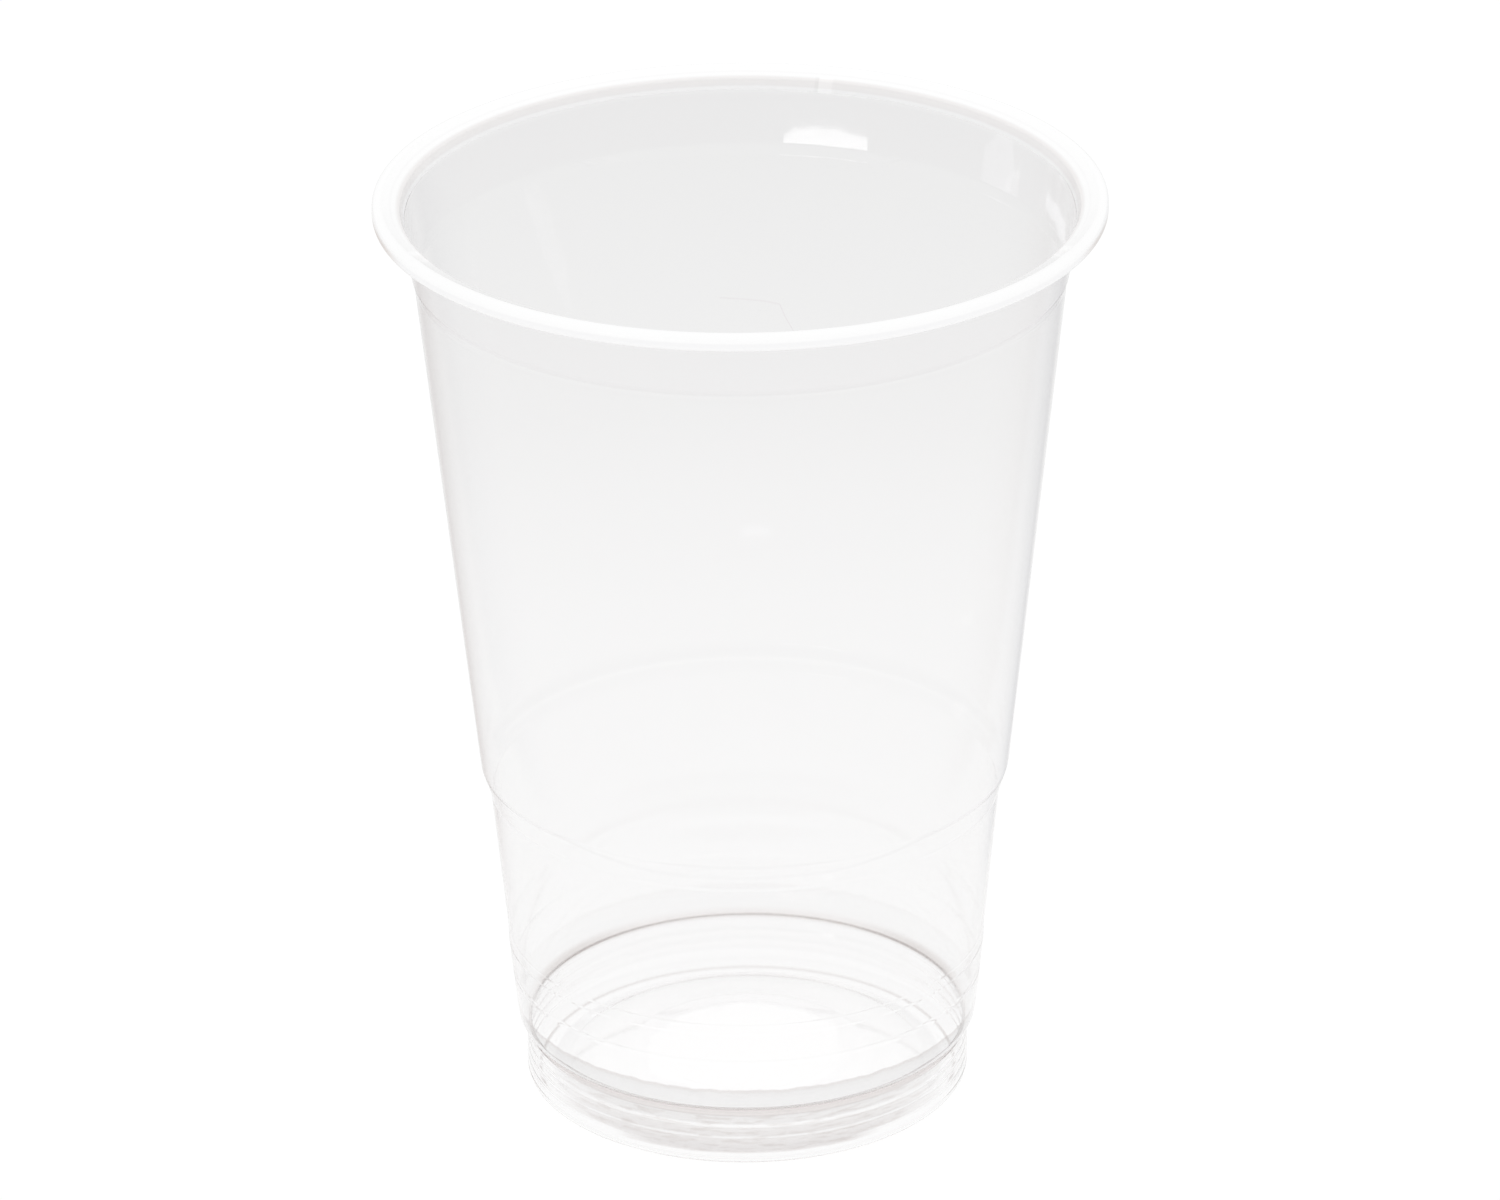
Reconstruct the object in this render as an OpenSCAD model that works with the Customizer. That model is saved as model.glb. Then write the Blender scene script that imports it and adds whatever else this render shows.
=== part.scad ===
// Clear plastic drinking tumbler, drawn from one sheet and rolled over at the rim.
// Millimetres, +Z up, with the origin at the centre of the standing ring.
// The section is set out along the inner face of the sheet, from the middle of the floor
// to the end of the roll, and the sheet's thickness lies outside it.

/* [Overall] */
// Height from the table to the top of the rim
cup_h = 126.1; // [115:0.1:140]
// Diameter over the rolled rim
rim_d = 95.1; // [90:0.1:105]

/* [Sheet] */
// Thickness of the wall and the rim
wall_t = 0.4; // [0.3:0.05:0.5]
// Thickness of the foot and the shoulder
foot_t = 0.35; // [0.3:0.05:0.4]
// Thickness of the floor
floor_t = 0.5; // [0.35:0.05:0.7]

/* [Rolled rim] */
// Width of the rim, from the edge of the mouth to the outside
lip_w = 3.55; // [3:0.05:4.5]
// Height of the roll at its outside
lip_h = 2.45; // [2.2:0.05:3.2]
// Slope of the rim's top towards the mouth, in degrees
lip_slope = 24; // [10:1:28]
// Radius of the bends round the roll
roll_r = 0.9; // [0.7:0.05:1.1]
// Radius of the bend at the edge of the mouth
mouth_bend_r = 0.6; // [0.55:0.05:0.9]
// Gap between the neck and the end of the roll
roll_gap = 0.5; // [0.3:0.05:0.8]
// Height of the turned-up end of the roll
roll_end_h = 0.85; // [0.8:0.05:1]
// Radius of the last bend of the roll
roll_end_r = 0.7; // [0.6:0.05:0.75]

/* [Neck and collar] */
// Height of the neck, from the crease to the edge of the mouth
neck_h = 1.4; // [1:0.1:2]
// Widening of the neck below the mouth
neck_flare = 0.65; // [0.3:0.05:1]
// Height of the collar between its ring line and the crease
collar_h = 7.3; // [4:0.1:12]
// Draft of the collar, in degrees
collar_draft = 8.6; // [6:0.1:10]
// Inward step of the wall under the collar
collar_step = 0.22; // [0:0.01:0.4]
// Height of the step under the collar
collar_step_h = 1.3; // [0.8:0.1:2]
// Radius of the small bends along the wall
wall_bend_r = 0.6; // [0.55:0.05:0.8]

/* [Wall] */
// Draft of the wall above the stacking step, in degrees
upper_draft = 6; // [5:0.1:7]
// Draft of the wall below the stacking step, in degrees
lower_draft = 5.6; // [4.5:0.1:6.5]
// Height of the foot of the stacking step above the table
step_z = 42.5; // [30:0.5:60]
// Height of the stacking step
step_h = 3.9; // [3:0.1:6]
// Inward reach of the stacking step
step_in = 1.24; // [0.6:0.02:1.6]
// Radius of the two bends of the stacking step
step_bend_r = 2.5; // [1:0.1:3]

/* [Base band and shoulder] */
// Height of the top of the base band above the table
band_z = 20.3; // [19:0.1:26]
// Rise of the base band from the wall
band_out = 0.16; // [0:0.01:0.3]
// Height over which the base band rises from the wall
band_rise_h = 1.5; // [0.8:0.1:2.5]
// Height of the ring line above the shoulder
line_z = 16.3; // [14:0.1:17.5]
// Rise of the shoulder from the base band
line_out = 0.09; // [0:0.01:0.2]
// Height over which the shoulder rises from the base band
line_h = 0.6; // [0.4:0.1:1]
// Height of the crease at the top of the shoulder
shoulder_top_z = 11.7; // [11:0.1:13]
// Inward lean of the shoulder below its crease
shoulder_in = 0.35; // [0.2:0.05:0.5]
// Height of the underside of the shoulder
shoulder_z = 8.75; // [8.7:0.05:9.2]
// Radius of the shoulder
shoulder_r = 1.9; // [1:0.1:1.9]

/* [Foot] */
// Set-back of the foot from the top of the shoulder
foot_in = 1.45; // [1.3:0.05:1.7]
// Height of the foot below the stacking groove
foot_h = 7.4; // [7.2:0.05:7.45]
// Depth of the stacking groove
groove_in = 0.5; // [0.4:0.05:0.6]
// Height of the middle of the stacking groove
groove_z = 8.05; // [8:0.05:8.15]
// Radius of the stacking groove
groove_r = 0.45; // [0.42:0.01:0.48]
// Radius of the bend between the foot and the stacking groove
foot_top_r = 0.25; // [0.2:0.05:0.35]
// Radius of the foot at the standing ring
foot_bend_r = 0.8; // [0.5:0.05:1]
// Number of the ribs round the foot
rib_count = 4; // [0:1:4]
// Distance from rib to rib
rib_pitch = 1.52; // [1.4:0.02:1.52]
// Depth of the ribs
rib_depth = 0.14; // [0.02:0.02:0.24]
// Radius of the ribs
rib_r = 0.8; // [0.55:0.05:0.9]
// Height of the middle of the lowest rib above the table
rib_z = 1.7; // [1.65:0.05:1.8]

/* [Floor] */
// Width of the standing ring's trough
trough_w = 3; // [2.4:0.1:3.2]
// Height of the floor's edge above the trough
rise_h = 0.75; // [0.5:0.05:1.2]
// Width of the slope from the trough up to the floor
rise_w = 0.9; // [0.8:0.05:1.4]
// Radius of the bends at the edge of the floor
rise_r = 0.75; // [0.72:0.01:0.85]
// Height of the middle disc's top above the table
floor_z = 2.6; // [2.3:0.1:3.6]
// Diameter of the middle disc
disc_d = 25.6; // [16:0.2:36]
// Rise of the middle disc above the floor round it
disc_h = 0.3; // [0.1:0.05:0.4]
// Width of the slope round the middle disc
disc_slope_w = 1.6; // [1.2:0.1:2]
// Radius of the bends round the middle disc
disc_bend_r = 3; // [2:0.1:3.5]

/* [Hidden] */
arc_step = 15;
facets = 180;

// The mouth and the roll
outer_r = rim_d / 2;
mouth_r = outer_r - lip_w;
roll_crown_w = outer_r - roll_r - mouth_r;
mouth_z = cup_h - roll_r + roll_r / cos(lip_slope) - roll_crown_w * tan(lip_slope);
roll_top_z = mouth_z + lip_w * tan(lip_slope);
roll_bottom_z = cup_h - lip_h;
roll_end_x = mouth_r + wall_t + roll_gap;

// The collar and the wall, worked out downwards from the mouth
crease_z = mouth_z - neck_h;
crease_r = mouth_r - neck_flare;
collar_z = crease_z - collar_h;
collar_r = crease_r - collar_h * tan(collar_draft);
wall_top_z = collar_z - collar_step_h;
wall_top_r = collar_r - collar_step - collar_step_h * tan(upper_draft);
step_top_z = step_z + step_h;
step_top_r = wall_top_r - (wall_top_z - step_top_z) * tan(upper_draft);
step_r = step_top_r - step_in;
function lower_r(z) = step_r - (step_z - z) * tan(lower_draft);

// The shoulder, the foot and the floor
shoulder_top_r = lower_r(shoulder_top_z) + band_out + line_out;
shoulder_in_r = shoulder_top_r - shoulder_in;
skirt_r = shoulder_top_r - foot_in;
groove_r_in = skirt_r - groove_in;
trough_r = skirt_r - trough_w;
rim_of_floor_r = trough_r - rise_w;
disc_r = disc_d / 2;

// One corner of the section: radius from the axis, height, radius of the bend, thickness
floor_line = [
    [0, floor_z, 0, floor_t],
    [disc_r, floor_z, disc_bend_r, floor_t],
    [disc_r + disc_slope_w, floor_z - disc_h, disc_bend_r, floor_t],
    [rim_of_floor_r, foot_t + rise_h, rise_r, floor_t],
    [trough_r, foot_t, rise_r, foot_t],
    [skirt_r, foot_t, foot_bend_r, foot_t],
];

// The ribs are shallow waves of the foot, two corners to each
rib_line = [
    for (i = [0 : 1 : rib_count - 1], half = [0, 1])
        [
            skirt_r + (half == 0 ? rib_depth : -rib_depth) / 2,
            rib_z + (i + half / 2 - 1 / 4) * rib_pitch,
            rib_r,
            foot_t,
        ]
];

wall_line = [
    [skirt_r, foot_h, foot_top_r, foot_t],
    [groove_r_in, groove_z, groove_r, foot_t],
    [shoulder_in_r, shoulder_z, shoulder_r, foot_t],
    [shoulder_top_r, shoulder_top_z, wall_bend_r, foot_t],
    [lower_r(line_z - line_h) + band_out + line_out, line_z - line_h, wall_bend_r, foot_t],
    [lower_r(line_z) + band_out, line_z, wall_bend_r, wall_t],
    [lower_r(band_z) + band_out, band_z, wall_bend_r, wall_t],
    [lower_r(band_z + band_rise_h), band_z + band_rise_h, wall_bend_r, wall_t],
    [step_r, step_z, step_bend_r, wall_t],
    [step_top_r, step_top_z, step_bend_r, wall_t],
    [wall_top_r, wall_top_z, wall_bend_r, wall_t],
    [collar_r, collar_z, wall_bend_r, wall_t],
];

rim_line = [
    [crease_r, crease_z, wall_bend_r, wall_t],
    [mouth_r, mouth_z, mouth_bend_r, wall_t],
    [outer_r, roll_top_z, roll_r, wall_t],
    [outer_r, roll_bottom_z, roll_r, wall_t],
    [roll_end_x, roll_bottom_z, roll_end_r, wall_t],
    [roll_end_x, roll_bottom_z + roll_end_h, 0, wall_t],
];

section_line = concat(floor_line, rib_line, wall_line, rim_line);

function flat(p) = [p[0], p[1]];
function unit(v) = v / norm(v);
function turned(v, a) = [v[0] * cos(a) - v[1] * sin(a), v[0] * sin(a) + v[1] * cos(a)];
// The side of a direction of travel that faces out of the cup
function outward(v) = [v[1], -v[0]];

// The two faces of the sheet round one corner, as pairs of an inner and an outer point
function bend(before, corner, after) =
    let (
        way_in = unit(flat(corner) - flat(before)),
        way_out = unit(flat(after) - flat(corner)),
        angle = atan2(cross(way_in, way_out), way_in * way_out),
        start = flat(corner) - corner[2] * tan(abs(angle) / 2) * way_in,
        centre = start - sign(angle) * corner[2] * outward(way_in),
        steps = max(1, ceil(abs(angle) / arc_step))
    )
    [
        for (i = [0 : steps])
            let (
                a = angle * i / steps,
                inner = centre + turned(start - centre, a)
            )
            [inner, inner + corner[3] * outward(turned(way_in, a))]
    ];

// The two faces at an end of the section
function cut_end(at, way) = [[flat(at), flat(at) + at[3] * outward(unit(way))]];

function faces(line) =
    let (last = len(line) - 1)
    concat(
        cut_end(line[0], flat(line[1]) - flat(line[0])),
        [for (i = [1 : last - 1]) each bend(line[i - 1], line[i], line[i + 1])],
        cut_end(line[last], flat(line[last]) - flat(line[last - 1]))
    );

module sheet_section(line) {
    pairs = faces(line);
    polygon(concat(
        [for (p = pairs) p[0]],
        [for (i = [len(pairs) - 1 : -1 : 0]) pairs[i][1]]
    ));
}

module cup() {
    color([0.90, 0.91, 0.92, 0.45])
        rotate_extrude($fn = facets)
            sheet_section(section_line);
}

cup();
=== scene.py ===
from math import atan2, ceil, cos, hypot, pi, radians, sin, tan
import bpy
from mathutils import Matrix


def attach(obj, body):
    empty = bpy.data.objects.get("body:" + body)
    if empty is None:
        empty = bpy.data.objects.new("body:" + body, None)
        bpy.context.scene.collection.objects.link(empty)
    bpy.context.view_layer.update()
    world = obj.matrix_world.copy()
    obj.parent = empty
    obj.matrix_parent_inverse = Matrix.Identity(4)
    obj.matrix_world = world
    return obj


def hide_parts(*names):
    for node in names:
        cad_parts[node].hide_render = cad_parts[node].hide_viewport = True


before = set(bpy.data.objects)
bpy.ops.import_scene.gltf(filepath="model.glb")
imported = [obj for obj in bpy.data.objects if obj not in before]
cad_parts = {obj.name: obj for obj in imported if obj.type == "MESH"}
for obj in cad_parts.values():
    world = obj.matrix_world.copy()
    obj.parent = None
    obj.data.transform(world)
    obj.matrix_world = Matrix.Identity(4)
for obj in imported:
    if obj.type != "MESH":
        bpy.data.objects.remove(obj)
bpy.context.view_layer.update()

from types import SimpleNamespace

import bpy
from mathutils import Matrix, Vector

MM = 0.001

# ---------------------------------------------------------------- camera
IMAGE_W = 1500                          # pixels
FOCAL_PX = 8757.0                       # the focal length, in pixels of an image that wide
SENSOR_W = 36.0
CLIP_NEAR, CLIP_FAR = 0.05, 20.0
CAM_DISTANCE = 1.1533
CAM_ELEVATION = radians(24.53)
CAM_ROLL = radians(-0.468)
AIM = (0.000856, 0.0, 0.06841)


def make_camera():
    data = bpy.data.cameras.new("view_camera")
    data.sensor_width = SENSOR_W
    data.lens = FOCAL_PX / IMAGE_W * SENSOR_W
    data.clip_start, data.clip_end = CLIP_NEAR, CLIP_FAR
    cam = bpy.data.objects.new("view_camera", data)
    bpy.context.scene.collection.objects.link(cam)
    look = Vector((0, cos(CAM_ELEVATION), -sin(CAM_ELEVATION)))
    up = Vector((0, sin(CAM_ELEVATION), cos(CAM_ELEVATION)))
    side = Vector((1, 0, 0))
    place = Vector(AIM) - CAM_DISTANCE * look
    c, s = cos(CAM_ROLL), sin(CAM_ROLL)
    x, y = c * side + s * up, c * up - s * side
    cam.matrix_world = Matrix((
        (x.x, y.x, -look.x, place.x),
        (x.y, y.y, -look.y, place.y),
        (x.z, y.z, -look.z, place.z),
        (0, 0, 0, 1),
    ))
    bpy.context.scene.camera = cam


# ---------------------------------------------------------------- the section
# In millimetres, with the CAD's corners. The sizes that aren't the CAD's make the sheet bend light
# as in the photograph; they stay inside the CAD's box, and each has the CAD's own beside it.
CUP_H, RIM_D = 126.1, 95.1
WALL_T, FOOT_T, FLOOR_T = 0.4, 0.3, 0.5                 # the CAD's foot: 0.35
LIP_W, LIP_H, LIP_SLOPE = 3.55, 2.45, radians(24)
ROLL_R, MOUTH_BEND_R, ROLL_GAP, ROLL_END_H, ROLL_END_R = 0.9, 0.6, 0.5, 0.85, 0.7
NECK_H, NECK_FLARE = 1.4, 0.65
COLLAR_H, COLLAR_DRAFT, COLLAR_STEP, COLLAR_STEP_H = 7.3, radians(8.6), 0.22, 1.3
COLLAR_BEND_R, CREASE_BEND_R = 3.0, 1.0                 # the CAD: 0.6
UPPER_DRAFT, LOWER_DRAFT = radians(6), radians(5.6)
STEP_Z, STEP_H, STEP_IN, STEP_BEND_R = 42.5, 3.9, 1.24, 2.5
BAND_Z, BAND_OUT, BAND_RISE_H = 20.3, 0.16, 1.5
LINE_Z, LINE_OUT, LINE_H, LINE_BEND_R = 16.3, 0.09, 0.6, 2.0    # the CAD's bend: 0.6
SHOULDER_TOP_Z, SHOULDER_TOP_R = 11.7, 0.3              # the CAD's bend: 0.6
SHOULDER_Z, SHOULDER_IN, SHOULDER_R = 8.75, 0.35, 1.9
FOOT_IN, FOOT_H, FOOT_TOP_R, FOOT_BEND_R = 1.45, 7.4, 0.25, 0.8
GROOVE_IN, GROOVE_Z, GROOVE_R = 0.5, 8.05, 0.45
RIB_COUNT, RIB_PITCH, RIB_DEPTH, RIB_R, RIB_Z = 4, 1.52, 0.14, 0.8, 1.7
TROUGH_W, RISE_H = 3.0, 0.75
RISE_W, RISE_R = 2.4, 3.0                               # the CAD: 0.9 and 0.75
FLOOR_Z, DISC_D, DISC_H = 2.6, 25.6, 0.3
DISC_SLOPE_W, DISC_BEND_R = 3.0, 8.0                    # the CAD: 1.6 and 3

ARC_STEP = radians(10)                  # the most that a bend turns from ring to ring
LONG_STEP = 9.0                         # and the most that a straight run goes
AROUND = 288                            # points in a ring

outer_r = RIM_D / 2
mouth_r = outer_r - LIP_W
mouth_z = CUP_H - ROLL_R + ROLL_R / cos(LIP_SLOPE) - (LIP_W - ROLL_R) * tan(LIP_SLOPE)
roll_top_z = mouth_z + LIP_W * tan(LIP_SLOPE)
roll_bottom_z = CUP_H - LIP_H
roll_end_x = mouth_r + WALL_T + ROLL_GAP
crease_z, crease_r = mouth_z - NECK_H, mouth_r - NECK_FLARE
collar_z = crease_z - COLLAR_H
collar_r = crease_r - COLLAR_H * tan(COLLAR_DRAFT)
wall_top_z = collar_z - COLLAR_STEP_H
wall_top_r = collar_r - COLLAR_STEP - COLLAR_STEP_H * tan(UPPER_DRAFT)
step_top_z = STEP_Z + STEP_H
step_top_r = wall_top_r - (wall_top_z - step_top_z) * tan(UPPER_DRAFT)
step_r = step_top_r - STEP_IN


def lower_r(z):
    return step_r - (STEP_Z - z) * tan(LOWER_DRAFT)


shoulder_top_r = lower_r(SHOULDER_TOP_Z) + BAND_OUT + LINE_OUT
shoulder_in_r = shoulder_top_r - SHOULDER_IN
skirt_r = shoulder_top_r - FOOT_IN
groove_r_in = skirt_r - GROOVE_IN
trough_r = skirt_r - TROUGH_W
rise_edge_r = trough_r - RISE_W
disc_r = DISC_D / 2

# The corners, from the middle of the floor to the end of the roll: the distance from the axis,
# the height, the radius of the bend and the thickness of the sheet
section_line = [
    (0, FLOOR_Z, 0, FLOOR_T),
    (disc_r, FLOOR_Z, DISC_BEND_R, FLOOR_T),
    (disc_r + DISC_SLOPE_W, FLOOR_Z - DISC_H, DISC_BEND_R, FLOOR_T),
    (rise_edge_r, FOOT_T + RISE_H, RISE_R, FLOOR_T),
    (trough_r, FOOT_T, RISE_R, FOOT_T),
    (skirt_r, FOOT_T, FOOT_BEND_R, FOOT_T),
]
for i in range(RIB_COUNT):
    for half in (0, 1):
        section_line.append((
            skirt_r + (RIB_DEPTH if half == 0 else -RIB_DEPTH) / 2,
            RIB_Z + (i + half / 2 - 1 / 4) * RIB_PITCH, RIB_R, FOOT_T,
        ))
section_line += [
    (skirt_r, FOOT_H, FOOT_TOP_R, FOOT_T),
    (groove_r_in, GROOVE_Z, GROOVE_R, FOOT_T),
    (shoulder_in_r, SHOULDER_Z, SHOULDER_R, FOOT_T),
    (shoulder_top_r, SHOULDER_TOP_Z, SHOULDER_TOP_R, FOOT_T),
    (lower_r(LINE_Z - LINE_H) + BAND_OUT + LINE_OUT, LINE_Z - LINE_H, LINE_BEND_R, FOOT_T),
    (lower_r(LINE_Z) + BAND_OUT, LINE_Z, LINE_BEND_R, WALL_T),
    (lower_r(BAND_Z) + BAND_OUT, BAND_Z, LINE_BEND_R, WALL_T),
    (lower_r(BAND_Z + BAND_RISE_H), BAND_Z + BAND_RISE_H, LINE_BEND_R, WALL_T),
    (step_r, STEP_Z, STEP_BEND_R, WALL_T),
    (step_top_r, step_top_z, STEP_BEND_R, WALL_T),
    (wall_top_r, wall_top_z, COLLAR_BEND_R, WALL_T),
    (collar_r, collar_z, COLLAR_BEND_R, WALL_T),
    (crease_r, crease_z, CREASE_BEND_R, WALL_T),
    (mouth_r, mouth_z, MOUTH_BEND_R, WALL_T),
    (outer_r, roll_top_z, ROLL_R, WALL_T),
    (outer_r, roll_bottom_z, ROLL_R, WALL_T),
    (roll_end_x, roll_bottom_z, ROLL_END_R, WALL_T),
    (roll_end_x, roll_bottom_z + ROLL_END_H, 0, WALL_T),
]


def unit(x, y):
    n = hypot(x, y)
    return x / n, y / n


def two_faces(line):
    """The faces of the sheet: an inner point, the outer one across from it, and the way out."""
    pairs = []

    def add(p, way, t):
        out = (way[1], -way[0])
        q = (p[0] + t * out[0], p[1] + t * out[1])
        if pairs:
            a, b, before = pairs[-1]
            n = int(hypot(p[0] - a[0], p[1] - a[1]) / LONG_STEP)
            for k in range(1, n + 1):
                f = k / (n + 1)
                pairs.append((
                    (a[0] + (p[0] - a[0]) * f, a[1] + (p[1] - a[1]) * f),
                    (b[0] + (q[0] - b[0]) * f, b[1] + (q[1] - b[1]) * f),
                    unit(before[0] + (out[0] - before[0]) * f,
                         before[1] + (out[1] - before[1]) * f),
                ))
        pairs.append((p, q, out))

    first, second = line[:2]
    add(first[:2], unit(second[0] - first[0], second[1] - first[1]), first[3])
    for before, corner, after in zip(line, line[1:], line[2:]):
        ix, iy = unit(corner[0] - before[0], corner[1] - before[1])
        ox, oy = unit(after[0] - corner[0], after[1] - corner[1])
        angle = atan2(ix * oy - iy * ox, ix * ox + iy * oy)
        r, t = corner[2:]
        cut = r * tan(abs(angle) / 2)
        sx, sy = corner[0] - cut * ix, corner[1] - cut * iy
        side = 1 if angle > 0 else -1
        cx, cy = sx - side * r * iy, sy + side * r * ix
        wx, wy = sx - cx, sy - cy
        steps = max(1, ceil(abs(angle) / ARC_STEP))
        for i in range(steps + 1):
            a = angle * i / steps
            ca, sa = cos(a), sin(a)
            p = (cx + wx * ca - wy * sa, cy + wx * sa + wy * ca)
            add(p, (ix * ca - iy * sa, ix * sa + iy * ca), t)
    prev, last = line[-2:]
    add(last[:2], unit(last[0] - prev[0], last[1] - prev[1]), last[3])
    return pairs


def make_cup():
    pairs = two_faces(section_line)
    inner = [(*p, -out[0], -out[1]) for p, _, out in pairs]
    outer = [(*q, *out) for _, q, out in pairs]
    # from the middle of the floor up the inside, and down the outside to the middle again
    rings = inner[1:] + outer[:0:-1]
    verts, normals = [(0, 0, inner[0][1] * MM)], [(0, 0, 1)]
    for r, z, nr, nz in rings:
        for k in range(AROUND):
            a = 2 * pi * k / AROUND
            verts.append((r * MM * cos(a), r * MM * sin(a), z * MM))
            normals.append((nr * cos(a), nr * sin(a), nz))
    verts.append((0, 0, outer[0][1] * MM))
    normals.append((0, 0, -1))

    faces = []
    bottom = len(verts) - 1
    last_ring = 1 + (len(rings) - 1) * AROUND
    for k in range(AROUND):
        n = (k + 1) % AROUND
        faces.append((0, 1 + k, 1 + n))
        faces.append((bottom, last_ring + n, last_ring + k))
    for j in range(len(rings) - 1):
        a, b = 1 + j * AROUND, 1 + (j + 1) * AROUND
        for k in range(AROUND):
            n = (k + 1) % AROUND
            faces.append((a + k, b + k, b + n, a + n))

    mesh = bpy.data.meshes.new("cup_clear")
    mesh.from_pydata(verts, [], faces)
    mesh.shade_smooth()
    mesh.normals_split_custom_set_from_vertices(normals)
    ob = bpy.data.objects.new("cup_clear", mesh)
    bpy.context.scene.collection.objects.link(ob)
    return ob


# ---------------------------------------------------------------- shader nodes


def feed(nt, socket, value):
    """Give a socket a number, a colour or what comes out of another node."""
    if isinstance(value, (int, float)):
        socket.default_value = value
    elif isinstance(value, tuple):
        socket.default_value = (*value, 1)
    else:
        nt.links.new(value, socket)


def node(nt, kind, **sockets):
    """A new node with its sockets fed; an underscore stands for a space in a socket's name."""
    n = nt.nodes.new(kind)
    for name, value in sockets.items():
        feed(nt, n.inputs[name.replace("_", " ")], value)
    return n


def math_node(nt, operation, a, b=None, clamp=False):
    n = nt.nodes.new("ShaderNodeMath")
    n.operation, n.use_clamp = operation, clamp
    feed(nt, n.inputs[0], a)
    if b is not None:
        feed(nt, n.inputs[1], b)
    return n.outputs[0]


def plus(nt, a, b, clamp=False):
    return math_node(nt, "ADD", a, b, clamp)


def minus(nt, a, b):
    return math_node(nt, "SUBTRACT", a, b)


def times(nt, a, b):
    return math_node(nt, "MULTIPLY", a, b)


def above(nt, a, b):
    return math_node(nt, "GREATER_THAN", a, b)


def below(nt, a, b):
    return math_node(nt, "LESS_THAN", a, b)


def fade(nt, value, span, ends=(0, 1)):
    """Goes evenly from one end to the other while the value crosses the span."""
    n = node(nt, "ShaderNodeMapRange", Value=value, From_Min=span[0], From_Max=span[1],
             To_Min=ends[0], To_Max=ends[1])
    return n.outputs[0]


def mix_colour(nt, fac, a, b, blend="MIX"):
    n = nt.nodes.new("ShaderNodeMix")
    n.data_type, n.blend_type = "RGBA", blend
    for socket, value in zip((n.inputs[0], n.inputs[6], n.inputs[7]), (fac, a, b)):
        feed(nt, socket, value)
    return n.outputs[2]


def tinted(nt, share, colour, tint):
    """The colour under a tint, as far as the share says."""
    return mix_colour(nt, share, colour, mix_colour(nt, 1.0, colour, tint, "MULTIPLY"))


def mix_shader(nt, fac, a, b):
    n = nt.nodes.new("ShaderNodeMixShader")
    for socket, value in zip(n.inputs, (fac, a, b)):
        nt.links.new(value, socket)
    return n.outputs[0]


def ramp(nt, fac, stops):
    """A colour by stops, each of them a place from 0 to 1 and a colour or a grey."""
    n = nt.nodes.new("ShaderNodeValToRGB")
    nt.links.new(fac, n.inputs[0])
    elements = n.color_ramp.elements
    while len(elements) < len(stops):
        elements.new(0.5)
    for e, (at, colour) in zip(elements, stops):
        e.position = at
        e.color = (*colour, 1) if isinstance(colour, tuple) else (colour, colour, colour, 1)
    return n.outputs[0]


def ramp_to(nt, value, reach, stops):
    """A ramp with its stops in the value's own measure, from 0 to the reach."""
    return ramp(nt, math_node(nt, "DIVIDE", value, reach), [(at / reach, c) for at, c in stops])


def ramp_over(nt, value, span, stops):
    """A ramp with its stops in the value's own measure, over the span."""
    low, high = span
    return ramp(nt, fade(nt, value, span), [((at - low) / (high - low), c) for at, c in stops])


def noise(nt, vector, scale, detail, rough):
    n = node(nt, "ShaderNodeTexNoise", Vector=vector, Scale=scale, Detail=detail, Roughness=rough)
    return n.outputs["Fac"]


# ---------------------------------------------------------------- the clear plastic
# In the tables a stop is a place and what the sheet lets through there, as a grey or a colour;
# many of the darker and paler bands are painted shade and painted light.
# Places are in millimetres: the height above the table, or on the floor and the lip the distance
# from the axis. A pair named Y is in metres, negative in front of the axis and positive behind it.
# Where a pair limits a thing, the thing is absent at the first and there in full at the second.
IOR = 1.49
ABSORB, ABSORB_DENSITY = (0.35, 0.12, 0.06), 18.0       # the plastic's own, seen edge on
WALL_REACH = 130.0
# The sheet is a little wavy between the shoulder and the middle of the wall: roughness by height
SHINE = ((0.0, 0.015), (12.0, 0.015), (15.0, 0.045), (42.0, 0.045), (60.0, 0.02), (130.0, 0.02))
# The foot with its ribs, the groove, and the wall up to the rim: the dark lines at the foot's
# edge, the ribs and the groove are painted shade
WALL_TINT = (
    (0.0, 1.0), (0.03, 0.8), (0.24, 0.8), (0.32, 1.0), (0.45, 0.985), (0.9, 0.955), (1.15, 0.99),
    (2.2, 1.0), (2.4, 0.95), (2.6, 0.985), (3.7, 1.0), (3.95, 0.95), (4.15, 0.985),
    (5.25, 1.0), (5.5, 0.95), (5.7, 0.985), (6.6, 1.0), (7.0, 0.965), (7.2, 0.985),
    (7.5, (0.95, 0.935, 0.93)), (8.25, (0.95, 0.935, 0.93)), (8.5, 0.995), (30.0, 0.997),
    (60.0, 0.993), (116.0, 0.995), (116.6, (0.985, 0.982, 0.984)),
    (122.9, (0.985, 0.982, 0.984)), (123.1, 1.0), (130.0, 1.0),
)
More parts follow.
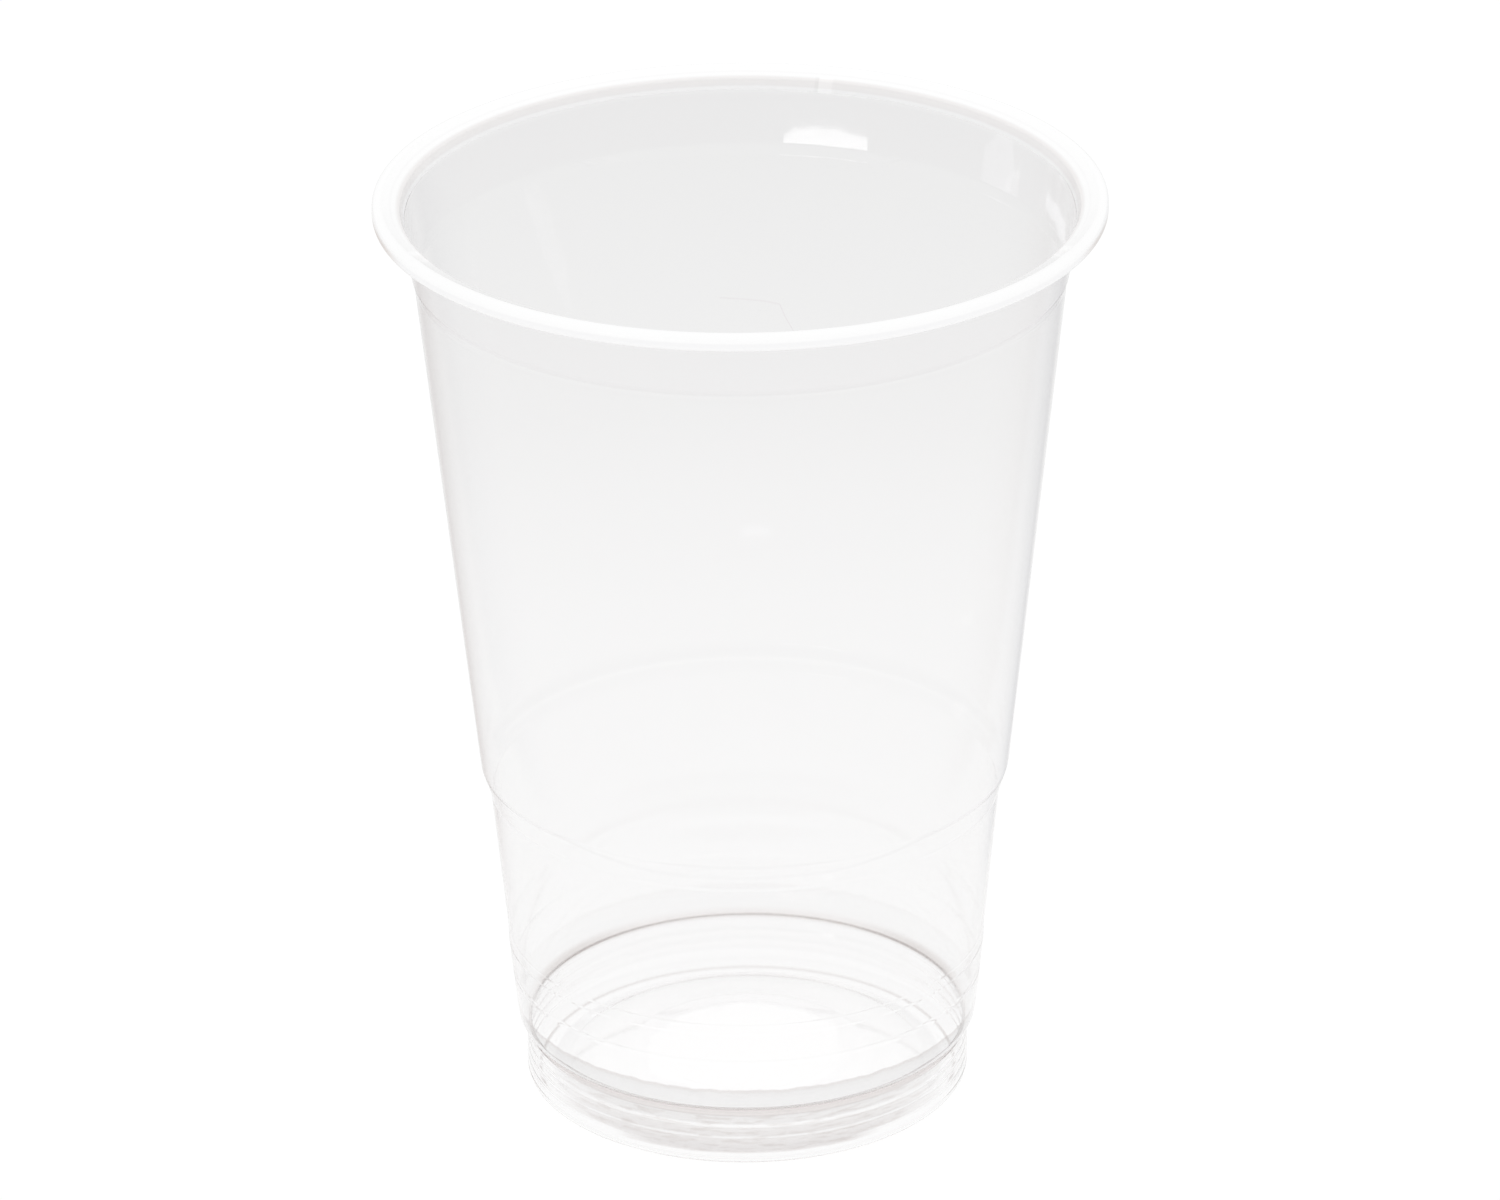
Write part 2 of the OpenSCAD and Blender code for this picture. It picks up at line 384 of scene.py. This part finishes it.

# The front of the shoulder and the foot is seen through more of the sheet and its folds, and is
# painted darker there as painted shade
BASE_REACH = 13.0
SHOULDER_SHADE = (
    (7.1, 1.0), (7.2, (0.84, 0.815, 0.81)), (8.1, (0.84, 0.815, 0.81)),
    (8.3, (0.853, 0.846, 0.843)), (9.2, (0.877, 0.875, 0.875)), (10.4, (0.882, 0.88, 0.88)),
    (11.2, (0.855, 0.85, 0.848)), (11.4, (0.82, 0.80, 0.795)), (11.75, (0.82, 0.80, 0.795)),
    (11.85, 1.0),
)
SHOULDER_Y, SHOULDER_BEHIND = (0.012, -0.012), 0.2      # how much of it there is behind
SKIRT_SHADE = (
    (1.65, 1.0), (1.8, (0.82, 0.80, 0.795)), (3.8, (0.85, 0.835, 0.83)), (3.92, 0.97),
    (4.1, 0.97), (4.25, (0.84, 0.825, 0.82)), (5.35, (0.86, 0.847, 0.842)), (5.55, 1.0),
    (5.85, 1.0), (6.05, (0.855, 0.847, 0.845)), (7.2, (0.84, 0.83, 0.827)), (7.3, 1.0),
)
# The foot's bands of painted shade reach further round above this height than below it
SKIRT_UPPER = (2.4, 2.8)
SKIRT_LOW_Y = (-0.0235, -0.0265)
SKIRT_HIGH_Y, SKIRT_HIGH_BEHIND = (-0.014, -0.0245), 0.1
# Noise is given as its scale, detail and roughness, on the wall laid flat
FOOT_R = 30.0
STREAKS, STREAKS_UP = (0.25, 3.0, 0.6), 8.0             # so many times as fine upwards
WAVES = (0.35, 2.0, 0.5)
CREASE_WANDER, CREASE = 0.9, (9.5, 11.3)                # mm, for the shoulder's crease
SKIRT_WANDER = 0.2                                      # mm, for the foot's bands
# The foot's painted shade is darker in streaky patches
STREAK_DARKENING, STREAK_DARKENED = (0.9, 0.88, 0.87), (0.5, 0.62)        # by the streaks
STREAK_DARKENING_TOP, STREAK_DARKENING_FOOT = (7.3, 7.1), (1.7, 1.9)

# The stacking step is painted: a fine grey line of shade at its top in front, and behind a pale
# line at its foot between slight painted shade
STEP_SPAN = (40.0, 50.0)
STEP_FRONT = ((45.9, 1.0), (46.15, (0.96, 0.958, 0.96)), (46.45, (0.96, 0.958, 0.96)), (46.7, 1.0))
STEP_BACK = ((43.8, 0.99), (44.05, 1.0), (44.35, 1.0), (44.6, 0.985), (45.4, 0.98), (46.0, 0.99))
STEP_Y = (0.004, -0.004)
STEP_SAG = 1.7                          # the line runs so much lower in the middle of the front
STEP_MIDDLE_Y, STEP_MIDDLE = (-0.026, -0.0325), 0.4     # and is so much weaker there

# The foot of the collar is painted as a fine line of shade in front
COLLAR_SPAN, COLLAR_Y = (115.0, 117.0), (0.0, -0.01)
COLLAR_LINE = (
    (115.6, 1.0), (115.85, (0.965, 0.96, 0.963)), (116.3, (0.965, 0.96, 0.963)), (116.6, 1.0),
)

# The stacking groove has painted shade, darkest at both sides behind
GROOVE_BEHIND = (
    (7.2, 1.0), (7.45, (0.84, 0.82, 0.81)), (8.3, (0.84, 0.82, 0.81)), (8.55, 1.0),
)
GROOVE_FAR_Y, GROOVE_NEAR_Y = (0.026, 0.018), (0.006, 0.011)

# A hairline scratch on the wall behind, as points across and up
SCRATCH = ((-2.9, 95.0), (2.9, 94.5), (5.2, 94.1), (5.9, 92.4), (7.1, 90.3))
SCRATCH_W, SCRATCH_TINT = 0.09, (0.96, 0.94, 0.95)

# The floor has a whiter middle with a scalloped edge, and away from the front a dark ring of
# painted shade near its edge
FLOOR_REACH = 30.0
FLOOR_TINT = (
    (0.0, 1.0), (13.0, 1.0), (13.9, (0.975, 0.973, 0.976)), (15.2, (0.985, 0.984, 0.986)),
    (17.5, 0.975), (19.5, 0.985), (23.5, 0.955), (25.9, (0.94, 0.938, 0.941)), (26.3, 1.0),
    (27.55, 1.0), (27.7, (0.72, 0.69, 0.68)), (27.95, (0.72, 0.69, 0.68)), (28.1, 1.0),
    (30.0, 1.0),
)
FLOOR_MIDDLE_Y = 0.0008                 # metres that the whiter middle lies in front of the axis
BLOBS, BLOB_REACH = (260.0, 1.0, 0.4), 5.0              # mm, for the scallops
BLOBBED = (20.0, 17.0)                  # where they end
FLOOR_EDGE_Y = (-0.012, -0.006)
FLOOR_EDGES = (26.35, 28.2)             # how far the floor's tint reaches in front and behind

# The neck and the rolled lip are thick and milky, by the distance from the axis; their darker
# rings are painted shade
RIM_SPAN = (43.3, 48.0)
RIM_TINT = (
    (43.3, 1.0), (43.52, 1.0), (43.62, (0.94, 0.925, 0.925)), (43.8, (0.95, 0.935, 0.93)),
    (44.2, (0.90, 0.88, 0.875)), (44.42, (0.95, 0.945, 0.945)), (44.6, 1.0), (44.95, 1.0),
    (45.15, (0.975, 0.973, 0.975)), (45.4, 1.0), (48.0, 1.0),
)
MILKY_FROM = 123.6                      # the neck is milky from this height
ROLL_FROM = (44.1, 123.0)               # and the whole roll, from this distance and this height
# Its outside has painted shade in front, in bands by height, darkest low down
RIM_FRONT_SPAN, RIM_FRONT_Y, RIM_OUTSIDE = (123.0, 127.0), (0.0, -0.02), (45.3, 45.6)
RIM_FRONT = (
    (123.2, (0.80, 0.775, 0.77)), (123.6, (0.83, 0.80, 0.795)), (123.75, (0.88, 0.86, 0.855)),
    (123.95, 0.935), (124.3, 0.94), (124.5, (0.922, 0.92, 0.925)), (124.9, (0.922, 0.92, 0.925)),
    (125.1, 0.965), (126.1, 0.975),
)
# It has painted shade under its outer edge at both sides
LOW_EDGE, LOW_EDGE_FROM, LOW_EDGE_UNDER = (0.74, 0.69, 0.66), 47.2, (125.3, 124.7)
LOW_EDGE_FRONT_Y, LOW_EDGE_BACK_Y = (-0.020, -0.014), (-0.001, -0.005)
# A nib of the moulding stands across the neck behind, painted as a highlight with painted shade
# beside it: by the angle from the front, in radians
NIB_SPAN, NIB_OUT = (2.85, 2.97), (44.7, 44.5)
NIB = (
    (2.852, 1.0), (2.858, 1.05), (2.896, 1.05), (2.900, 0.96), (2.908, 0.96), (2.912, 1.0),
)


def off_axis(nt, x, y):
    """How far a point is from an upright axis, in mm."""
    squares = plus(nt, times(nt, x, x), times(nt, y, y))
    return times(nt, math_node(nt, "SQRT", squares), 1 / MM)


def positions(nt):
    """Where a point of the cup is: x and y in metres, around in radians, the rest in mm."""
    place = nt.nodes.new("ShaderNodeTexCoord").outputs["Object"]
    split = nt.nodes.new("ShaderNodeSeparateXYZ")
    nt.links.new(place, split.inputs[0])
    x, y, z = split.outputs[:3]
    return SimpleNamespace(
        place=place, x=x, y=y,
        across=times(nt, x, 1 / MM),
        height=times(nt, z, 1 / MM),
        radius=off_axis(nt, x, y),
        around=math_node(nt, "ARCTAN2", x, times(nt, y, -1.0)),
    )


def unrolled(nt, at, up):
    """The wall laid flat, in mm along the foot, and so many times as fine upwards."""
    n = nt.nodes.new("ShaderNodeCombineXYZ")
    nt.links.new(times(nt, at.around, FOOT_R), n.inputs[0])
    nt.links.new(times(nt, at.height, up), n.inputs[1])
    return n.outputs[0]


def wander(nt, fac, reach):
    """Up to half the reach to either side, as the noise goes."""
    return times(nt, minus(nt, fac, 0.5), reach)


def off_segment(nt, x, z, a, b):
    """How far a point is from the segment between a and b."""
    dx, dz = b[0] - a[0], b[1] - a[1]
    square = dx * dx + dz * dz
    px, pz = minus(nt, x, a[0]), minus(nt, z, a[1])
    along = plus(nt, times(nt, px, dx / square), times(nt, pz, dz / square), clamp=True)
    qx, qz = minus(nt, px, times(nt, along, dx)), minus(nt, pz, times(nt, along, dz))
    return math_node(nt, "SQRT", plus(nt, times(nt, qx, qx), times(nt, qz, qz)))


def base_colour(nt, at, wall):
    """The wall with the painted shade of the shoulder and the foot, darker in streaky patches and
    a little uneven.
    """
    streaks = noise(nt, unrolled(nt, at, STREAKS_UP), *STREAKS)
    waves = noise(nt, unrolled(nt, at, 0.0), *WAVES)
    lift = times(nt, wander(nt, waves, CREASE_WANDER), fade(nt, at.height, CREASE))
    # the shoulder's painted shade, mostly in front
    shoulder = ramp_to(nt, plus(nt, at.height, lift), BASE_REACH, SHOULDER_SHADE)
    wall = tinted(nt, fade(nt, at.y, SHOULDER_Y, (SHOULDER_BEHIND, 1.0)), wall, shoulder)

    # the foot's painted shade in front, darker in streaky patches
    smear = wander(nt, streaks, SKIRT_WANDER)
    skirt = ramp_to(nt, plus(nt, at.height, smear), BASE_REACH, SKIRT_SHADE)
    # painted shade, darker in streaky patches low on the foot
    in_foot = times(nt, fade(nt, at.height, STREAK_DARKENING_TOP), fade(nt, at.height, STREAK_DARKENING_FOOT))
    skirt = tinted(nt, times(nt, in_foot, fade(nt, streaks, STREAK_DARKENED)), skirt, STREAK_DARKENING)
    upper = fade(nt, at.height, SKIRT_UPPER)
    high = times(nt, upper, fade(nt, at.y, SKIRT_HIGH_Y, (SKIRT_HIGH_BEHIND, 1.0)))
    low = times(nt, minus(nt, 1.0, upper), fade(nt, at.y, SKIRT_LOW_Y))
    return tinted(nt, plus(nt, high, low), wall, skirt)


def wall_colour(nt, at):
    # the wall's tint, with painted shade at the foot's edge, the ribs and the groove
    wall = base_colour(nt, at, ramp_to(nt, at.height, WALL_REACH, WALL_TINT))

    # the stacking step's painted shade and painted light
    middle = fade(nt, at.y, STEP_MIDDLE_Y)
    sagged = plus(nt, at.height, times(nt, middle, STEP_SAG))
    back, front = (ramp_over(nt, sagged, STEP_SPAN, stops) for stops in (STEP_BACK, STEP_FRONT))
    step = mix_colour(nt, fade(nt, at.y, STEP_Y), back, front)
    wall = tinted(nt, fade(nt, middle, (0, 1), (1.0, STEP_MIDDLE)), wall, step)

    # painted shade at the foot of the collar in front
    collar = ramp_over(nt, at.height, COLLAR_SPAN, COLLAR_LINE)
    wall = tinted(nt, fade(nt, at.y, COLLAR_Y), wall, collar)

    # painted shade of the groove at both sides behind
    groove = ramp_to(nt, at.height, BASE_REACH, GROOVE_BEHIND)
    at_sides = times(nt, fade(nt, at.y, GROOVE_FAR_Y), fade(nt, at.y, GROOVE_NEAR_Y))
    wall = tinted(nt, at_sides, wall, groove)

    away = [off_segment(nt, at.across, at.height, a, b) for a, b in zip(SCRATCH, SCRATCH[1:])]
    nearest = away[0]
    for other in away[1:]:
        nearest = math_node(nt, "MINIMUM", nearest, other)
    scratched = times(nt, below(nt, nearest, SCRATCH_W), above(nt, at.y, 0.0))
    return tinted(nt, scratched, wall, SCRATCH_TINT)


def floor_colour(nt, at):
    edge = wander(nt, noise(nt, at.place, *BLOBS), BLOB_REACH)
    spread = plus(nt, off_axis(nt, at.x, plus(nt, at.y, FLOOR_MIDDLE_Y)), edge)
    blobbed = fade(nt, at.radius, BLOBBED)
    spread = plus(nt, times(nt, spread, blobbed), times(nt, at.radius, minus(nt, 1.0, blobbed)))
    return ramp_to(nt, spread, FLOOR_REACH, FLOOR_TINT)


def lip_colour(nt, at):
    # the lip's milky white with rings of painted shade
    lip = ramp_over(nt, at.radius, RIM_SPAN, RIM_TINT)

    # painted shade on the front of the roll's outside
    front_shade = ramp_over(nt, at.height, RIM_FRONT_SPAN, RIM_FRONT)
    in_front = times(nt, fade(nt, at.radius, RIM_OUTSIDE), fade(nt, at.y, RIM_FRONT_Y))
    lip = mix_colour(nt, in_front, lip, front_shade)

    # painted shade under the outer edge at both sides
    low_edge = times(nt, above(nt, at.radius, LOW_EDGE_FROM), fade(nt, at.height, LOW_EDGE_UNDER))
    beside = times(nt, fade(nt, at.y, LOW_EDGE_FRONT_Y), fade(nt, at.y, LOW_EDGE_BACK_Y))
    lip = mix_colour(nt, times(nt, low_edge, beside), lip, LOW_EDGE)

    # the nib's painted highlight and painted shade
    nib = ramp_over(nt, at.around, NIB_SPAN, NIB)
    return tinted(nt, fade(nt, at.radius, NIB_OUT), lip, nib)


def clear_plastic():
    mat = bpy.data.materials.new("clear_plastic")
    mat.use_nodes = True
    nt = mat.node_tree
    link = nt.links.new
    at = positions(nt)
    on_floor = below(nt, at.radius, fade(nt, at.y, FLOOR_EDGE_Y, FLOOR_EDGES))
    sheet = mix_colour(nt, on_floor, wall_colour(nt, at), floor_colour(nt, at))
    in_roll = times(nt, above(nt, at.radius, ROLL_FROM[0]), above(nt, at.height, ROLL_FROM[1]))
    milky = math_node(nt, "MAXIMUM", in_roll, above(nt, at.height, MILKY_FROM))
    plastic = nt.nodes["Principled BSDF"]
    plastic.inputs["IOR"].default_value = IOR
    link(ramp_to(nt, at.height, WALL_REACH, SHINE), plastic.inputs["Roughness"])
    link(mix_colour(nt, milky, sheet, lip_colour(nt, at)), plastic.inputs["Base Color"])
    link(minus(nt, 1.0, milky), plastic.inputs["Transmission Weight"])
    inside = node(nt, "ShaderNodeVolumeAbsorption", Color=ABSORB, Density=ABSORB_DENSITY)
    link(inside.outputs[0], nt.nodes["Material Output"].inputs["Volume"])
    return mat


# ---------------------------------------------------------------- studio
# A painted pool of light on the paper: how bright it is at these distances from the cup's axis, in
# metres, as the cup shows it
PAPER_REACH = 1.5
PAPER_LIGHT_POOL = (
    (0.0, 1.07), (0.024, 1.06), (0.03, 1.0), (0.05, 0.985), (0.115, 0.965), (0.15, 0.955),
    (0.187, 0.935), (0.222, 0.905), (0.255, 0.893), (0.35, 0.86), (0.7, 0.79), (1.5, 0.76),
)
# How much of that the cup's edges mirror from behind it, to the left and to the right, by the
# angle from straight behind it in degrees; its darker zones are painted shade on the paper
HALF_TURN = 180
PAPER_LEFT = (
    (0, 1.0), (20, 1.0), (31, (0.80, 0.775, 0.77)), (42, (0.86, 0.84, 0.835)),
    (52, (0.93, 0.92, 0.92)), (66, 1.0), (180, 1.0),
)
PAPER_RIGHT = (
    (0, 1.0), (20, 1.0), (31, (0.79, 0.79, 0.805)), (42, (0.85, 0.855, 0.87)),
    (52, (0.93, 0.93, 0.94)), (66, 1.0), (180, 1.0),
)
PAPER_MIDDLE = (0.048, 0.060)           # the strip seen straight through the cup keeps its white
PAPER_SHADE = 0.03                      # the share of the paper's white that shadows can take
PAPER_WHITE = 1.02                      # as the camera sees it
FLOOR_HALF, FLOOR_DROP = 3.0, 0.0002    # metres
WHITE = (1.0, 1.0, 1.0)
WORLD_STRENGTH = 1.03
# The room that the cup shows, from straight below it to straight above
ROOM = ((0.0, 0.9), (0.5, 0.84), (0.75, 0.84), (1.0, 0.9))
# Curved cards round the cup, seen in its shine alone: the distance from its axis, points as the
# degrees to the left of the front with the card's bottom and top there, in metres, and the colour
CARDS = {
    "softbox_front_left": (0.455, (
        (13.5, 0.0685, 0.0695), (16, 0.0678, 0.0788), (19.7, 0.0665, 0.0796),
        (27, 0.0637, 0.0785), (36, 0.0613, 0.0757), (46.8, 0.0595, 0.0702),
    ), (3.2, 3.2, 3.2)),
    "softbox_left": (0.266, (
        (99, 0.064, 0.072), (105, 0.058, 0.072), (112, 0.052, 0.070), (116, 0.052, 0.062),
    ), (1.15, 1.15, 1.17)),
    "softbox_back_left": (0.266, (
        (141, 0.0440, 0.0465), (153, 0.0355, 0.0385), (165, 0.0262, 0.0300),
        (171, 0.0222, 0.0235),
    ), (1.2, 1.2, 1.22)),
    "strip_front": (0.245, (
        (-1.3, 0.0009, 0.0024), (5.0, 0.0009, 0.0026), (11.8, 0.0009, 0.0024),
    ), (1.45, 1.45, 1.5)),
}
BOUNCES, DIFFUSE_BOUNCES, TRANSPARENT_BOUNCES = 128, 4, 32


def light_path(nt):
    """The path, and 1 for a ray by which the camera, a reflection or the plastic sees a thing."""
    path = nt.nodes.new("ShaderNodeLightPath")
    seen = plus(nt, path.outputs["Is Camera Ray"], path.outputs["Is Glossy Ray"])
    return path, plus(nt, seen, path.outputs["Is Transmission Ray"], clamp=True)


def stage_material(name):
    """A material that is no lamp, its nodes, and the socket for its surface."""
    mat = bpy.data.materials.new(name)
    mat.use_nodes = True
    mat.cycles.emission_sampling = "NONE"
    mat.node_tree.nodes.clear()
    out = mat.node_tree.nodes.new("ShaderNodeOutputMaterial")
    return mat, mat.node_tree, out.inputs["Surface"]


def stage_piece(name, verts, faces, mat, z=0.0):
    mesh = bpy.data.meshes.new(name)
    mesh.from_pydata(verts, [], faces)
    mesh.materials.append(mat)
    ob = bpy.data.objects.new(name, mesh)
    bpy.context.scene.collection.objects.link(ob)
    ob.location.z = z


def floor_material():
    mat, nt, surface = stage_material("studio_floor")
    geo = nt.nodes.new("ShaderNodeNewGeometry")
    length = nt.nodes.new("ShaderNodeVectorMath")
    length.operation = "LENGTH"
    nt.links.new(geo.outputs["Position"], length.inputs[0])
    away = math_node(nt, "DIVIDE", length.outputs["Value"], PAPER_REACH, clamp=True)
    # the painted pool of light round the cup
    glow = ramp(nt, away, [(d / PAPER_REACH, g) for d, g in PAPER_LIGHT_POOL])
    split = nt.nodes.new("ShaderNodeSeparateXYZ")
    nt.links.new(geo.outputs["Position"], split.inputs[0])
    x, y = split.outputs[:2]
    off = math_node(nt, "ABSOLUTE", x)
    turn = math_node(nt, "DIVIDE", math_node(nt, "ARCTAN2", off, y), pi)
    # painted shade on the paper at the sides behind
    left, right = (ramp(nt, turn, [(d / HALF_TURN, c) for d, c in stops])
                   for stops in (PAPER_LEFT, PAPER_RIGHT))
    sideways = mix_colour(nt, above(nt, x, 0.0), left, right)
    sideways = mix_colour(nt, fade(nt, off, PAPER_MIDDLE), WHITE, sideways)
    pool = node(nt, "ShaderNodeEmission", Color=mix_colour(nt, 1.0, glow, sideways, "MULTIPLY"))
    paper = node(nt, "ShaderNodeBsdfDiffuse", Color=WHITE)
    shaded = node(nt, "ShaderNodeBsdfDiffuse", Color=(PAPER_SHADE, PAPER_SHADE, PAPER_SHADE))
    white = node(nt, "ShaderNodeEmission", Strength=PAPER_WHITE - PAPER_SHADE)
    backdrop = nt.nodes.new("ShaderNodeAddShader")
    nt.links.new(shaded.outputs[0], backdrop.inputs[0])
    nt.links.new(white.outputs[0], backdrop.inputs[1])
    path, seen = light_path(nt)
    as_seen = mix_shader(nt, path.outputs["Is Camera Ray"], pool.outputs[0], backdrop.outputs[0])
    from_above = mix_shader(nt, seen, paper.outputs[0], as_seen)
    # the cup's underside can be seen through it
    clear = nt.nodes.new("ShaderNodeBsdfTransparent")
    nt.links.new(mix_shader(nt, geo.outputs["Backfacing"], from_above, clear.outputs[0]), surface)
    return mat


def make_floor():
    s = FLOOR_HALF
    corners = [(-s, -s, 0), (s, -s, 0), (s, s, 0), (-s, s, 0)]
    stage_piece("studio_floor", corners, [(0, 1, 2, 3)], floor_material(), -FLOOR_DROP)


def make_world():
    world = bpy.data.worlds.new("studio")
    bpy.context.scene.world = world
    world.use_nodes = True
    nt = world.node_tree
    light = nt.nodes["Background"]
    light.inputs["Color"].default_value = (*WHITE, 1)
    light.inputs["Strength"].default_value = WORLD_STRENGTH
    place = nt.nodes.new("ShaderNodeTexCoord")
    split = nt.nodes.new("ShaderNodeSeparateXYZ")
    nt.links.new(place.outputs["Generated"], split.inputs[0])
    room = node(nt, "ShaderNodeBackground",
                Color=ramp(nt, fade(nt, split.outputs["Z"], (-1, 1)), ROOM))
    white = node(nt, "ShaderNodeBackground", Color=WHITE)
    path, seen = light_path(nt)
    as_seen = mix_shader(nt, path.outputs["Is Camera Ray"], room.outputs[0], white.outputs[0])
    surface = nt.nodes["World Output"].inputs["Surface"]
    nt.links.new(mix_shader(nt, seen, light.outputs[0], as_seen), surface)
    world.cycles.sampling_method = "NONE"       # the light is even: no samples go into finding it


def light_card(name, reach, outline, colour):
    mat, nt, surface = stage_material(name)
    glow = node(nt, "ShaderNodeEmission", Color=colour)
    unseen = nt.nodes.new("ShaderNodeBsdfTransparent")
    path = nt.nodes.new("ShaderNodeLightPath")
    mirrored = above(nt, path.outputs["Glossy Depth"], 0.5)
    nt.links.new(mix_shader(nt, mirrored, unseen.outputs[0], glow.outputs[0]), surface)
    verts = []
    for turn, bottom, top in outline:
        x, y = -reach * sin(radians(turn)), -reach * cos(radians(turn))
        verts += [(x, y, bottom), (x, y, top)]
    faces = [(k, k + 1, k + 3, k + 2) for k in range(0, len(verts) - 2, 2)]
    stage_piece(name, verts, faces, mat)


# ---------------------------------------------------------------- the scene
make_camera()

cup = make_cup()
cup.data.materials.append(clear_plastic())
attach(cup, "root")
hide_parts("cup")

make_floor()
make_world()
for card, (reach, outline, colour) in CARDS.items():
    light_card(card, reach, outline, colour)

scene = bpy.context.scene
scene.view_settings.view_transform = "Standard"
scene.cycles.max_bounces = BOUNCES
scene.cycles.transmission_bounces = BOUNCES
scene.cycles.glossy_bounces = BOUNCES
scene.cycles.diffuse_bounces = DIFFUSE_BOUNCES
scene.cycles.transparent_max_bounces = TRANSPARENT_BOUNCES
